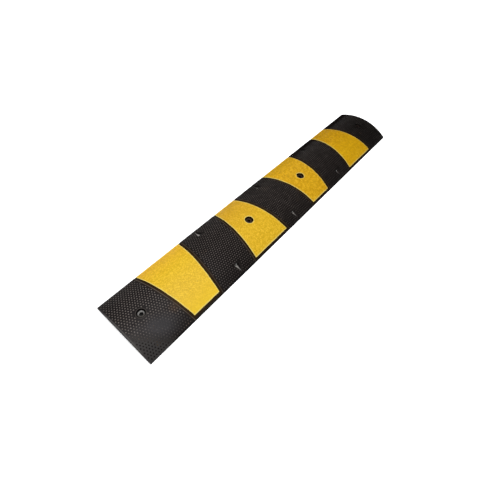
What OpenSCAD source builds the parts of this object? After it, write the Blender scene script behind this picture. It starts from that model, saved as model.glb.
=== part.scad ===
// Rubber speed bump, one straight section.
// X runs along the length, Y across the width, Z up.
// The origin is at the middle of the underside.

/* [Body] */
// Overall length of the section
body_l = 1830; // [1700:1:2000]
// Overall width of the section
body_w = 305; // [290:1:330]
// Height of the crown above the ground
body_h = 50; // [46:0.5:60]
// Height of the upright lip along both long edges
toe_h = 7; // [5:0.5:9]
// How far the black tread fields stand above the smooth bands
field_step = 2; // [1:0.1:3]

/* [Yellow panels] */
// Distance from one panel centre to the next
panel_pitch = 412; // [400:1:420]
// Length of a panel at the middle line
panel_mid = 181; // [170:1:190]
// Slant of a panel's two sides from straight across, in degrees
panel_slant = 9.1; // [6:0.1:10]
// Distance from a panel's end to the edge of the body on the +Y side
panel_gap_a = 0.5; // [0.5:0.5:15]
// Distance from a panel's end to the edge of the body on the -Y side
panel_gap_b = 11.5; // [8:0.5:18]
// How much further the first panel stops from the edge on the -Y side
panel_trim = 3.5; // [0:0.5:6]
// Thickness of a panel
panel_t = 1.5; // [0.8:0.1:2]
// Diameter of the cut-out in the two middle panels
cut_d = 40; // [40:0.5:46]
// Width of the smooth band on each slanted side of a panel
band_w = 11; // [6:0.5:14]

/* [Bolt holes] */
// Distance from the middle to each outer bolt hole
hole_far = 824; // [810:1:835]
// Distance from the middle to each inner bolt hole
hole_near = 206; // [200:1:212]
// Diameter of the bolt hole
hole_d = 14; // [12:0.5:16]
// Diameter of the counterbore at its mouth
sink_d_top = 36; // [34:0.5:40]
// Diameter of the counterbore at its floor
sink_d_floor = 29; // [28:0.5:32]
// Depth of the counterbore below the crown
sink_depth = 11; // [9:0.5:14]
// Outer diameter of the steel washer in the counterbore
washer_d = 28; // [26:0.5:28]
// Thickness of the steel washer
washer_t = 3; // [2:0.5:4]

/* [Reflectors] */
// Distance of a reflector's back wall from the middle line
eye_y = 106; // [102:1:110]
// Radius of the cone notch in front of a reflector
notch_r = 13; // [12:0.5:15]
// Length of the cone notch down the slope
notch_l = 41; // [36:1:42]
// Outer diameter of the reflector cup
cup_d = 9; // [8:0.5:9.5]
// Depth of the reflector cup in the rubber
cup_l = 12; // [10:0.5:14]
// Wall of the reflector cup
cup_wall = 1; // [0.8:0.1:1.4]
// Depth of the cup's centre under the surface at the back wall
cup_drop = 7.3; // [7.1:0.1:7.5]

/* [Underside] */
// Number of hollow cells along each side
cell_count = 17; // [14:1:20]
// Thickness of the rib between two cells
cell_rib = 12; // [8:1:16]
// Width of the middle rib that holds the bolt holes
spine_w = 34; // [30:1:40]
// Width of a cell across the bump
cell_w = 66; // [50:1:68]
// Thickness of the solid rubber above the cells
skin_t = 14; // [12:0.5:18]
// Length of the solid block at each end
end_block = 18; // [14:1:30]
// Diameter of the solid boss around each bolt hole
boss_d = 62; // [56:1:70]

/* [Hidden] */
$fn = 96;
crown_r = (pow(body_w / 2, 2) + pow(body_h - toe_h, 2)) / (2 * (body_h - toe_h));
crown_z = body_h - crown_r;
panel_x = [for (i = [0:3]) (i - 1.5) * panel_pitch];
end_a = body_w / 2 - panel_gap_a;
end_b = body_w / 2 - panel_gap_b;
hole_x = [-hole_far, -hole_near, hole_near, hole_far];
eye_x = [-panel_pitch, 0, panel_pitch];
// Height of the tread surface at a distance y from the middle line.
function top_z(y) = crown_z + sqrt(crown_r * crown_r - y * y);
// Slope of that surface, in degrees.
function slope(y) = asin(y / crown_r);
eye_z = top_z(eye_y) - cup_drop;
lean = slope(eye_y + notch_l / 2);

// Round of the crown, lowered by drop, as a long bar.
module crown_bar(drop, length) {
    translate([-length / 2, 0, crown_z])
        rotate([0, 90, 0])
            cylinder(r = crown_r - drop, h = length, $fn = 360);
}

// The section's outer block: a flat base, upright lips and a round crown.
module crown_block() {
    intersection() {
        translate([-body_l / 2, -body_w / 2, 0])
            cube([body_l, body_w, body_h + 1]);
        crown_bar(0, body_l + 20);
    }
}

// Tapered outline of a panel, grown by extra on its slanted sides. It runs from -reach_b to reach_a.
// side is 1 when the long side is on +Y and -1 when it is on -Y.
module panel_outline(side, extra, reach_a, reach_b) {
    half_a = panel_mid / 2 + side * tan(panel_slant) * reach_a + extra;
    half_b = panel_mid / 2 - side * tan(panel_slant) * reach_b + extra;
    polygon([[-half_a, reach_a], [half_a, reach_a], [half_b, -reach_b], [-half_b, -reach_b]]);
}

// Shallow channel across the body that a panel lies in.
module panel_channel(i) {
    difference() {
        translate([panel_x[i], 0, -5])
            linear_extrude(body_h + 10)
                panel_outline(i % 2 == 0 ? 1 : -1, band_w, body_w / 2 + 4, body_w / 2 + 4);
        crown_bar(field_step, body_l + 40);
    }
}

// Bolt hole with its tapered counterbore.
module bolt_hole(x) {
    translate([x, 0, -1])
        cylinder(d = hole_d, h = body_h + 2);
    translate([x, 0, body_h - sink_depth])
        cylinder(d1 = sink_d_floor, d2 = sink_d_top, h = sink_depth);
    translate([x, 0, body_h])
        cylinder(d = sink_d_top, h = 3);
}

// Cone notch in the slope and the socket behind it, on the +Y side.
module eye_notch() {
    intersection() {
        translate([0, eye_y, top_z(eye_y)])
            rotate([-lean, 0, 0])
                translate([0, -8, 0])
                    rotate([-90, 0, 0])
                        cylinder(r1 = notch_r * (notch_l + 8) / notch_l, r2 = 0.4, h = notch_l + 8);
        translate([-30, eye_y, 0])
            cube([60, 60, body_h + 5]);
    }
    translate([0, eye_y + 0.5, eye_z])
        rotate([90, 0, 0])
            cylinder(d = cup_d, h = cup_l + 0.5);
}

// Hollow cells under the body.
module underside_cells() {
    pitch = (body_l - 2 * end_block + cell_rib) / cell_count;
    difference() {
        intersection() {
            crown_bar(skin_t, body_l);
            for (i = [0:cell_count - 1])
                for (s = [-1, 1])
                    translate([-body_l / 2 + end_block + i * pitch, s > 0 ? spine_w / 2 : -spine_w / 2 - cell_w, -2])
                        cube([pitch - cell_rib, cell_w, body_h]);
        }
        for (x = hole_x)
            translate([x, 0, -3])
                cylinder(d = boss_d, h = body_h + 6);
    }
}

module bump_body() {
    color([0.13, 0.125, 0.125])
        difference() {
            crown_block();
            for (i = [0:3]) panel_channel(i);
            for (x = hole_x) bolt_hole(x);
            for (x = eye_x) {
                translate([x, 0, 0]) eye_notch();
                translate([x, 0, 0]) mirror([0, 1, 0]) eye_notch();
            }
            underside_cells();
        }
}

// One reflective panel, bent over the crown. The two middle ones are cut out round a bolt hole.
module yellow_panel(i) {
    color([0.93, 0.74, 0.16])
        difference() {
            intersection() {
                translate([panel_x[i], 0, 1])
                    linear_extrude(body_h)
                        panel_outline(i % 2 == 0 ? 1 : -1, 0, end_a, i == 0 ? end_b - panel_trim : end_b);
                crown_bar(field_step - panel_t, body_l);
            }
            crown_bar(field_step, body_l + 20);
            if (i == 1 || i == 2)
                translate([hole_x[i], 0, 0])
                    cylinder(d = cut_d, h = body_h + 5);
        }
}

// Flat steel washer moulded in at the floor of a counterbore.
module bolt_washer(i) {
    color([0.62, 0.63, 0.64])
        translate([hole_x[i], 0, body_h - sink_depth])
            difference() {
                cylinder(d = washer_d, h = washer_t);
                translate([0, 0, -1])
                    cylinder(d = hole_d, h = washer_t + 2);
            }
}

// Round cup that holds a reflector lens, open towards +Y.
module reflector_cup(x, s) {
    color([0.7, 0.71, 0.72])
        translate([x, s * eye_y, eye_z])
            rotate([s * 90, 0, 0])
                difference() {
                    cylinder(d = cup_d, h = cup_l);
                    translate([0, 0, -1])
                        cylinder(d = cup_d - 2 * cup_wall, h = cup_l - cup_wall + 1);
                }
}

// Solid lens with a low domed face, seated in its cup.
module reflector_lens(x, s) {
    r = cup_d / 2 - cup_wall;
    dome = r * 1.25;
    color([0.9, 0.92, 0.93])
        translate([x, s * eye_y, eye_z])
            rotate([s * 90, 0, 0])
                intersection() {
                    translate([0, 0, -3])
                        cylinder(r = r, h = cup_l - cup_wall + 3);
                    union() {
                        translate([0, 0, dome - 1.4])
                            sphere(r = dome);
                        translate([0, 0, dome - 1.4])
                            cylinder(r = r + 2, h = cup_l);
                    }
                }
}

bump_body();
yellow_panel(0);  // yellow_panel_1
yellow_panel(1);  // yellow_panel_2
yellow_panel(2);  // yellow_panel_3
yellow_panel(3);  // yellow_panel_4
bolt_washer(0);  // bolt_washer_1
bolt_washer(1);  // bolt_washer_2
bolt_washer(2);  // bolt_washer_3
bolt_washer(3);  // bolt_washer_4
reflector_cup(eye_x[0], 1);  // reflector_cup_left_1
reflector_cup(eye_x[1], 1);  // reflector_cup_left_2
reflector_cup(eye_x[2], 1);  // reflector_cup_left_3
reflector_cup(eye_x[0], -1);  // reflector_cup_right_1
reflector_cup(eye_x[1], -1);  // reflector_cup_right_2
reflector_cup(eye_x[2], -1);  // reflector_cup_right_3
reflector_lens(eye_x[0], 1);  // reflector_lens_left_1
reflector_lens(eye_x[1], 1);  // reflector_lens_left_2
reflector_lens(eye_x[2], 1);  // reflector_lens_left_3
reflector_lens(eye_x[0], -1);  // reflector_lens_right_1
reflector_lens(eye_x[1], -1);  // reflector_lens_right_2
reflector_lens(eye_x[2], -1);  // reflector_lens_right_3
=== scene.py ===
import bmesh
import bpy
import math
import numpy as np
from mathutils import Matrix, Vector
from mathutils.geometry import delaunay_2d_cdt


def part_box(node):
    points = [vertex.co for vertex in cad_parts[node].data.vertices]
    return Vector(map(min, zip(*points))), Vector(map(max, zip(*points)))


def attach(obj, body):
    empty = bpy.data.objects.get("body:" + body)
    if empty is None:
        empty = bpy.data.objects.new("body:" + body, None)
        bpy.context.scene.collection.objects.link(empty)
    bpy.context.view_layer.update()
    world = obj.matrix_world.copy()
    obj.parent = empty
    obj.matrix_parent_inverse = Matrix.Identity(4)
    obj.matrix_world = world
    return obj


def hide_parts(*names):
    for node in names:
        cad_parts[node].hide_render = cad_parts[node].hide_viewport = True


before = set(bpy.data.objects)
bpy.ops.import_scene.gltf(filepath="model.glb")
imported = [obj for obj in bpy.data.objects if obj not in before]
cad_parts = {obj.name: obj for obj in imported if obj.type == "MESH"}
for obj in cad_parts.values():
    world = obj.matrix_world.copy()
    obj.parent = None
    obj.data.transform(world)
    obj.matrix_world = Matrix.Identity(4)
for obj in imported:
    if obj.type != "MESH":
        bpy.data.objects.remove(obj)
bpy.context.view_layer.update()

# ---------------------------------------------------------------- sizes, in mm, as in part.scad
lo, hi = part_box("bump_body")
L, W, H = [(hi[k] - lo[k]) * 1000 for k in range(3)]
HX, HY = L / 2, W / 2
TOE = 7.0
STEP = 2.0
R = (HY**2 + (H - TOE) ** 2) / (2 * (H - TOE))
CZ = H - R
PITCH = 412.0
P_T = 1.5
BAND = 11.0
MEAN, RATE = 181.0 / 2, math.tan(math.radians(9.1))
END_A, END_B = HY - 0.5, [HY - 15.0, HY - 11.5, HY - 11.5, HY - 11.5]  # a panel's ends on +Y and on -Y
CUT_R = 20.0
PANEL_X = np.array([(i - 1.5) * PITCH for i in range(4)])
SIDE = [1, -1, 1, -1]
HOLE_X = [-824.0, -206.0, 206.0, 824.0]
EYE_X = [-PITCH, 0.0, PITCH]
SINK_TOP, SINK_FLOOR, SINK_Z = 18.0, 14.5, H - 11.0
BOLT_R = 7.0
EYE_Y, NOTCH_R, NOTCH_L, CUP_R, CUP_L, CUP_DROP, CUP_WALL = 106.0, 13.0, 41.0, 4.5, 12.0, 7.3, 1.0
SKIN, SPINE, CELL_W, CELL_N, CELL_RIB, END_BLOCK, BOSS_R = 14.0, 34.0, 66.0, 17, 12.0, 18.0, 31.0
GROUND = 1.2  # the studs reach up to the crown, and the ground between them lies this far below it
FLOOR = 2.6  # depth of a channel's floor below the crown
DOT_PITCH, DOT_ROW, DOT_R = 11.0, 11.0 * math.sqrt(3) / 2, 3.05
rng = np.random.default_rng(7)


def surf(y, h=0.0):
    """Height of the surface that lies h above the tread's round crown."""
    return CZ + np.sqrt((R + h) ** 2 - np.asarray(y, float) ** 2)


# ---------------------------------------------------------------- distance functions in plan
def edge_gap(x, y, r=3.0):
    """Distance inwards from the section's outline, which has rounded corners."""
    qx, qy = np.abs(x) - (HX - r), np.abs(y) - (HY - r)
    outside = np.hypot(np.maximum(qx, 0), np.maximum(qy, 0))
    return -(outside + np.minimum(np.maximum(qx, qy), 0) - r)


def panel_half(i, y):
    return MEAN + SIDE[i] * RATE * y


SLANT = 1 / math.hypot(1, RATE)


def toward_far_end(x):
    """Whether the nearest panel lies on the +X side."""
    return (PANEL_X[np.newaxis] - x[:, np.newaxis] > 0)[
        np.arange(len(x)), np.abs(PANEL_X[np.newaxis] - x[:, np.newaxis]).argmin(1)
    ]



def tread_gap(x, y):
    """Distance from the nearest channel's edge: positive on a tread field, negative in a channel."""
    gaps = [(np.abs(x - PANEL_X[i]) - panel_half(i, y) - BAND) * SLANT for i in range(4)]
    return np.minimum.reduce(gaps)


# The cone notch in front of a reflector, for the +Y side. u is measured outwards from its back wall.
LEAN = math.asin((EYE_Y + NOTCH_L / 2) / R)
CONE_A = NOTCH_R * (NOTCH_L + 8) / NOTCH_L
CONE_B = (CONE_A - 0.4) / (NOTCH_L + 8)
CONE_A -= 8 * CONE_B
EYE_TOP = float(surf(EYE_Y))
EYE_Z = EYE_TOP - CUP_DROP


def notch_half(y):
    """Half width of the notch's outline at y."""
    u, w = y - EYE_Y, surf(y, -GROUND) - EYE_TOP
    c, s = math.cos(LEAN), math.sin(LEAN)
    v = (CONE_A - CONE_B * (u * c - w * s)) ** 2 - (u * s + w * c) ** 2
    return np.sqrt(np.maximum(v, 0))


def notch_floor(x, y):
    """Height of the cone's underside at x, y."""
    u = y - EYE_Y
    c, s = math.cos(LEAN), math.sin(LEAN)
    k = CONE_A - CONE_B * u * c
    a = c * c - CONE_B**2 * s * s
    b = 2 * (u * s * c - k * CONE_B * s)
    d = x * x + u * u * s * s - k * k
    return EYE_TOP + (-b - np.sqrt(np.maximum(b * b - 4 * a * d, 0))) / (2 * a)


_ys = np.linspace(EYE_Y, HY - 2, 4000)
NOTCH_TIP = float(_ys[np.argmax(notch_half(_ys) <= 0.02)])
NOTCH_ROWS = EYE_Y + (NOTCH_TIP - EYE_Y) * np.sin(np.linspace(0, math.pi / 2, 17)) ** 0.9
NOTCH_ROWS[-1] = NOTCH_TIP
NOTCH_WIDTHS = notch_half(NOTCH_ROWS)
NOTCH_WIDTHS[-1] = 0.0
_top = np.linspace(-1, 1, 13)
NOTCH_OUT = np.array(
    [(NOTCH_WIDTHS[0] * t, EYE_Y) for t in _top]
    + [(NOTCH_WIDTHS[j], NOTCH_ROWS[j]) for j in range(1, 16)]
    + [(0.0, NOTCH_TIP)]
    + [(-NOTCH_WIDTHS[j], NOTCH_ROWS[j]) for j in range(15, 0, -1)]
)  # clockwise from the back wall's left end, seen from above with +Y up


def polygon_gap(px, py, poly):
    """Distance from a closed outline, positive outside it."""
    a = poly
    b = np.roll(poly, -1, 0)
    e = b - a
    best = np.full(px.shape, 1e9)
    inside = np.zeros(px.shape, bool)
    for (ax, ay), (ex, ey) in zip(a, e, strict=True):
        dx, dy = px - ax, py - ay
        t = np.clip((dx * ex + dy * ey) / (ex * ex + ey * ey), 0, 1)
        best = np.minimum(best, np.hypot(dx - t * ex, dy - t * ey))
        if ey != 0:
            cross = ((ay > py) != (ay + ey > py)) & (px < ax + (py - ay) * ex / ey)
            inside ^= cross
    return np.where(inside, -best, best)


def notch_gap(x, y):
    """Distance from the nearest notch's outline, positive outside."""
    best = np.full(np.shape(x), 1e3)
    for ex in EYE_X:
        near = (np.abs(x - ex) < 40) & (np.abs(y) > EYE_Y - 30)
        if near.any():
            best[near] = np.minimum(best[near], polygon_gap(x[near] - ex, np.abs(y[near]), NOTCH_OUT))
    return best


def hole_gap(x, y):
    return np.minimum.reduce([np.hypot(x - hx, y) for hx in HOLE_X]) - SINK_TOP


ARC = np.linspace(0, math.pi / 2, 7)


def rounded(gap, r):
    """How far an edge rounded to radius r drops at this distance from it, as a chain of short chords."""
    return np.interp(gap, r - r * np.cos(ARC), r * np.sin(ARC) - r)


# A tread field ends in a low rounded bead and a steep drop to the smooth band.
BEAD_D = np.array([-1.2, -0.85, -0.42, -0.17, 0.0, 0.17, 0.45, 0.95, 1.5, 2.2, 2.9, 3.4, 3.9])
BEAD_H = np.array([-1.4, -1.38, -1.28, -1.0, -0.5, 0.0, 0.4, 0.65, 0.72, 0.68, 0.45, 0.15, 0.0])
COLLAR_D = np.array([0.0, 0.25, 0.7, 1.2, 2.2, 2.8, 3.3, 3.8])
COLLAR_H = np.array([-1.0, -0.3, 0.2, 0.42, 0.45, 0.3, 0.08, 0.0])


def body_height(x, y):
    """How far the visible surface stands above or below the crown."""
    h = np.interp(tread_gap(x, y), BEAD_D, BEAD_H) - GROUND
    h = h + rounded(edge_gap(x, y), 1.6)
    hole = hole_gap(x, y)
    h = h + np.where(np.abs(x) > 500, np.interp(hole, COLLAR_D, COLLAR_H), 0.0)
    return h + rounded(np.maximum(notch_gap(x, y), 0), 0.7)


def visible(x, y):
    """Height of the body's visible surface."""
    return surf(y, body_height(x, y))


# ---------------------------------------------------------------- a flat triangulation from outlines
class Plan:
    def __init__(self):
        self.v, self.e = [], []

    def line(self, pts, closed=False):
        b = len(self.v)
        self.v += [(float(p[0]), float(p[1])) for p in pts]
        n = len(pts)
        self.e += [(b + k, b + (k + 1) % n) for k in range(n if closed else n - 1)]

    def dots(self, pts):
        self.v += [(float(p[0]), float(p[1])) for p in pts]

    def solve(self):
        out = delaunay_2d_cdt([Vector(p) for p in self.v], self.e, [], 0, 1e-5, False)
        v = np.array([tuple(p) for p in out[0]])
        f = np.array([t for t in out[2] if len(t) == 3], int)
        a, b, c = v[f[:, 0]], v[f[:, 1]], v[f[:, 2]]
        area = (b[:, 0] - a[:, 0]) * (c[:, 1] - a[:, 1]) - (b[:, 1] - a[:, 1]) * (c[:, 0] - a[:, 0])
        f = f[np.abs(area) > 1e-9]
        area = area[np.abs(area) > 1e-9]
        f[area < 0] = f[area < 0][:, ::-1]
        return v, f


def centres(v, f):
    return v[f].mean(1)


def rim_edges(f):
    """Directed edges that belong to only one of these triangles."""
    e = np.concatenate([f[:, [0, 1]], f[:, [1, 2]], f[:, [2, 0]]])
    key = np.sort(e, 1)
    _, first, count = np.unique(key, axis=0, return_index=True, return_counts=True)
    return e[first[count == 1]]


def loops_of(edges):
    """Ordered vertex loops from directed edges."""
    follow = {int(a): int(b) for a, b in edges}
    out = []
    while follow:
        start, at = next(iter(follow.items()))
        loop = [start]
        del follow[start]
        while at != start and at in follow:
            loop.append(at)
            at = follow.pop(at)
        out.append(loop)
    return out


class Builder:
    """Collects points and faces, and welds them into one mesh."""

    def __init__(self):
        self.v, self.f, self.n, self.tags, self.kinds = [], [], 0, [], []

    def add(self, pts, faces, kind=0, **tags):
        pts = np.asarray(pts, float).reshape(-1, 3)
        self.kinds += np.broadcast_to(np.asarray(kind, int), len(faces)).tolist()
        self.v.append(pts)
        self.f += [tuple(int(i) + self.n for i in t) for t in faces]
        self.n += len(pts)
        self.tags.append({k: np.broadcast_to(np.asarray(x, float), len(pts)) for k, x in tags.items()})

    def grid(self, pts, close=False, flip=False, kind=0, **tags):
        """A sheet of quads from rows of points."""
        pts = np.asarray(pts, float)
        n, m = pts.shape[:2]
        faces = []
        for i in range(n - 1):
            for j in range(m if close else m - 1):
                k = (j + 1) % m
                q = (i * m + j, i * m + k, (i + 1) * m + k, (i + 1) * m + j)
                faces.append(q[::-1] if flip else q)
        self.add(pts.reshape(-1, 3), faces, kind, **tags)

    def mesh(self, name, names=(), sharp_deg=40.0, weld=3e-3):
        v = np.concatenate(self.v) / 1000
        me = bpy.data.meshes.new(name)
        me.from_pydata(v.tolist(), [], self.f)
        me.polygons.foreach_set("material_index", self.kinds)
        for nm in names:
            value = np.concatenate([t.get(nm, np.zeros(len(p))) for t, p in zip(self.tags, self.v, strict=True)])
            at = me.attributes.new(nm, "FLOAT", "POINT")
            at.data.foreach_set("value", value.astype(np.float32))
        bm = bmesh.new()
        bm.from_mesh(me)
        bmesh.ops.remove_doubles(bm, verts=bm.verts, dist=weld / 1000)
        bmesh.ops.dissolve_degenerate(bm, edges=bm.edges, dist=1e-9)
        bmesh.ops.delete(bm, geom=[p for p in bm.verts if not p.link_faces], context="VERTS")
        bm.to_mesh(me)
        bm.free()
        me.validate()
        me.update()
        smooth(me, sharp_deg)
        ob = bpy.data.objects.new(name, me)
        bpy.context.scene.collection.objects.link(ob)
        return ob


def smooth(me, degrees):
    """Smooth shading, with a sharp edge wherever two faces meet at more than this angle."""
    me.polygons.foreach_set("use_smooth", [True] * len(me.polygons))
    nf, nl = len(me.polygons), len(me.loops)
    normals = np.zeros(nf * 3)
    me.polygons.foreach_get("normal", normals)
    normals = normals.reshape(-1, 3)
    edge_of = np.zeros(nl, int)
    me.loops.foreach_get("edge_index", edge_of)
    total = np.zeros(nf, int)
    me.polygons.foreach_get("loop_total", total)
    face_of = np.repeat(np.arange(nf), total)
    order = np.argsort(edge_of, kind="stable")
    e, f = edge_of[order], face_of[order]
    pair = np.nonzero(e[:-1] == e[1:])[0]
    cosine = (normals[f[pair]] * normals[f[pair + 1]]).sum(1)
    sharp = np.zeros(len(me.edges), bool)
    sharp[e[pair]] = cosine < math.cos(math.radians(degrees))
    me.edges.foreach_set("use_edge_sharp", sharp.tolist())
    me.update()


def report_mesh(ob):
    """Prints how many edges of a mesh don't have two faces."""
    me = ob.data
    edge_of = np.zeros(len(me.loops), int)
    me.loops.foreach_get("edge_index", edge_of)
    count = np.bincount(edge_of, minlength=len(me.edges))
    tris = sum(len(p.vertices) - 2 for p in me.polygons)
    print(f"MESH {ob.name}: {len(me.vertices)} points, {tris} triangles, {int((count != 2).sum())} open or shared edges")


# ---------------------------------------------------------------- the rubber body
def rounded_rect(hx, hy, r, step=8.0, corner=7):
    pts = []
    nx, ny = max(2, round(2 * (hx - r) / step)), max(2, round(2 * (hy - r) / step))
    for k in range(nx):
        pts.append((-(hx - r) + 2 * (hx - r) * k / nx, -hy))
    for k in range(corner):
        a = -math.pi / 2 + math.pi / 2 * k / corner
        pts.append((hx - r + r * math.cos(a), -(hy - r) + r * math.sin(a)))
    for k in range(ny):
        pts.append((hx, -(hy - r) + 2 * (hy - r) * k / ny))
    for k in range(corner):
        a = math.pi / 2 * k / corner
        pts.append((hx - r + r * math.cos(a), hy - r + r * math.sin(a)))
    for k in range(nx):
        pts.append((hx - r - 2 * (hx - r) * k / nx, hy))
    for k in range(corner):
        a = math.pi / 2 + math.pi / 2 * k / corner
        pts.append((-(hx - r) + r * math.cos(a), hy - r + r * math.sin(a)))
    for k in range(ny):
        pts.append((-hx, hy - r - 2 * (hy - r) * k / ny))
    for k in range(corner):
        a = math.pi + math.pi / 2 * k / corner
        pts.append((-(hx - r) + r * math.cos(a), -(hy - r) + r * math.sin(a)))
    return pts


def circle(cx, cy, r, n=64):
    return [(cx + r * math.cos(2 * math.pi * k / n), cy + r * math.sin(2 * math.pi * k / n)) for k in range(n)]


def grown(poly, by):
    """An outline moved outwards by this distance. The outline runs clockwise or anticlockwise."""
    poly = np.asarray(poly, float)
    area = 0.5 * np.sum(poly[:, 0] * np.roll(poly[:, 1], -1) - np.roll(poly[:, 0], -1) * poly[:, 1])
    turn = 1 if area > 0 else -1
    e = np.roll(poly, -1, 0) - poly
    n = turn * np.c_[e[:, 1], -e[:, 0]] / np.linalg.norm(e, axis=1)[:, None]
    m = n + np.roll(n, 1, 0)
    m /= np.linalg.norm(m, axis=1)[:, None]
    k = 1 / np.maximum((m * n).sum(1), 0.45)
    return poly + m * (k * by)[:, None]


def dot_centres():
    rows = int(HY // DOT_ROW)
    pts = []
    for j in range(-rows, rows + 1):
        start = -HX + 9.0 + (DOT_PITCH / 2 if j % 2 else 0.0) - DOT_PITCH
        xs = np.arange(start, HX, DOT_PITCH)
        pts.append(np.c_[xs, np.full(len(xs), j * DOT_ROW)])
    p = np.concatenate(pts)
    x, y = p[:, 0], p[:, 1]
    keep = (edge_gap(x, y) > 5.2) & (tread_gap(x, y) > 7.4) & (hole_gap(x, y) > 7.3) & (notch_gap(x, y) > 6.0)
    return p[keep]


def build_body():
    b = Builder()
    plan = Plan()
    # Outline and its rounding.
    for g in [*(1.6 - 1.6 * np.cos(ARC)), 2.0]:
        plan.line(rounded_rect(HX - g, HY - g, 3.0 - g), closed=True)
    # The beads and walls of the channels.
    ys = np.linspace(-HY - 2, HY + 2, 44)
    for i in range(4):
        for s in (-1, 1):
            for d in [-1.7, *BEAD_D]:
                plan.line(np.c_[PANEL_X[i] + s * (panel_half(i, ys) + BAND + d / SLANT), ys])
        # The floor of a channel, under the panel too.
        for y in np.linspace(-HY + 6, HY - 6, 30):
            half = panel_half(i, y) + BAND - 5
            plan.dots([(PANEL_X[i] + half * t, y) for t in np.linspace(-1, 1, 9)])
    # Bolt holes.
    for hx in HOLE_X:
        far = abs(hx) > 500
        for g in COLLAR_D if far else (0.0, 1.0):
            plan.line(circle(hx, 0, SINK_TOP + g), closed=True)
    # Notches.
    for ex in EYE_X:
        for s in (1, -1):
            for g in [*(0.7 - 0.7 * np.cos(ARC)), 1.1]:
                ring = NOTCH_OUT if g == 0 else grown(NOTCH_OUT, g)
                plan.line(np.c_[ring[:, 0] + ex, s * ring[:, 1]], closed=True)
    # Dots.
    dots = dot_centres()
    for x, y in dots:
        plan.line(circle(x, y, DOT_R, 12), closed=True)
    v, f = plan.solve()
    c = centres(v, f)
    keep = (edge_gap(c[:, 0], c[:, 1]) > 0) & (hole_gap(c[:, 0], c[:, 1]) > 0) & (notch_gap(c[:, 0], c[:, 1]) > 0)
    from_dot = np.full(len(c), 1e3)
    j = np.round(c[:, 1] / DOT_ROW)
    for dj in (-1, 0, 1):
        jj = j + dj
        shift = -HX + 9.0 + np.where(np.mod(jj, 2) == 1, DOT_PITCH / 2, 0.0)
        gx = np.round((c[:, 0] - shift) / DOT_PITCH) * DOT_PITCH + shift
        from_dot = np.minimum(from_dot, np.hypot(c[:, 0] - gx, c[:, 1] - jj * DOT_ROW))
    made = {(round(x, 2), round(y, 2)) for x, y in dots}
    near = np.nonzero(keep & (from_dot < DOT_R))[0]
    for k in near:
        jj = min((j[k] + dj for dj in (-1, 0, 1)), key=lambda q: dot_distance(c[k], q))
        shift = -HX + 9.0 + (DOT_PITCH / 2 if jj % 2 == 1 else 0.0)
        gx = round((c[k, 0] - shift) / DOT_PITCH) * DOT_PITCH + shift
        if (round(gx, 2), round(jj * DOT_ROW, 2)) in made:
            keep[k] = False
    f = f[keep]
    used = np.unique(f)
    back = np.full(len(v), -1)
    back[used] = np.arange(len(used))
    v, f = v[used], back[f]
    h = body_height(v[:, 0], v[:, 1])
    z = surf(v[:, 1], h)
    band = np.clip(-tread_gap(v[:, 0], v[:, 1]) / 1.0, 0, 1)
    bead = np.clip((h + GROUND) / 0.7, 0, 1)
    gap = tread_gap(v[:, 0], v[:, 1])
    # The lip mark is a pale line along the beads and the notches' rims: partly wear, partly painted highlight,
    # stronger on beads that face +X and on the notches' -X halves, the sides that face the lamp.
    lip = np.exp(-(((gap - 0.7) / 1.0) ** 2)) * np.clip(edge_gap(v[:, 0], v[:, 1]) / 2, 0, 1)
    lip *= np.where(toward_far_end(v[:, 0]), 1.0, 0.45)
    pocket = notch_gap(v[:, 0], v[:, 1])
    near_half = np.minimum.reduce([np.where(np.abs(v[:, 0] - ex) < 40, v[:, 0] - ex, 99) for ex in EYE_X]) < -0.5
    lip = np.maximum(lip, np.exp(-((pocket / 1.1) ** 2)) * np.where(near_half, 0.35, 0.22))
    mid = centres(v, f)
    matt = (edge_gap(mid[:, 0], mid[:, 1]) < 1.6).astype(int)
    b.add(np.c_[v, z], f, kind=matt, band=band, wear=bead * 0.5, lip=lip)

    # Domes of the dots. Each one stands along the crown's own normal.
    ring = np.array([(math.cos(2 * math.pi * k / 12), math.sin(2 * math.pi * k / 12)) for k in range(12)])
    pts, faces, wear, n = [], [], [], 0
    size = 1 + 0.05 * rng.standard_normal(len(dots))
    lift = np.minimum(1.14 + 0.05 * rng.standard_normal(len(dots)), GROUND - 0.01)
    for (x, y), s, up in zip(dots, size, lift, strict=True):
        tilt = y / R
        base = np.c_[x + DOT_R * ring[:, 0], y + DOT_R * ring[:, 1]]
        pts.append(np.c_[base, surf(base[:, 1], body_height(base[:, 0], base[:, 1]))])
        mid = np.c_[x + 2.05 * s * ring[:, 0], y + 2.05 * s * ring[:, 1] + 0.72 * up * tilt]
        pts.append(np.c_[mid, surf(y + 2.05 * s * ring[:, 1], 0.72 * up - GROUND)])
        pts.append(np.array([[x, y + up * tilt, float(surf(y, up - GROUND))]]))
        # The stud tops carry the wear mark, which paints them pale: partly wear, partly painted highlight.
        wear += [0.0] * 12 + [0.9] * 12 + [1.0]
        for k in range(12):
            m = (k + 1) % 12
            faces.append((n + k, n + m, n + 12 + m, n + 12 + k))
            faces.append((n + 12 + k, n + 12 + m, n + 24))
        n += 25
    b.add(np.concatenate(pts), faces, wear=np.array(wear))

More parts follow.
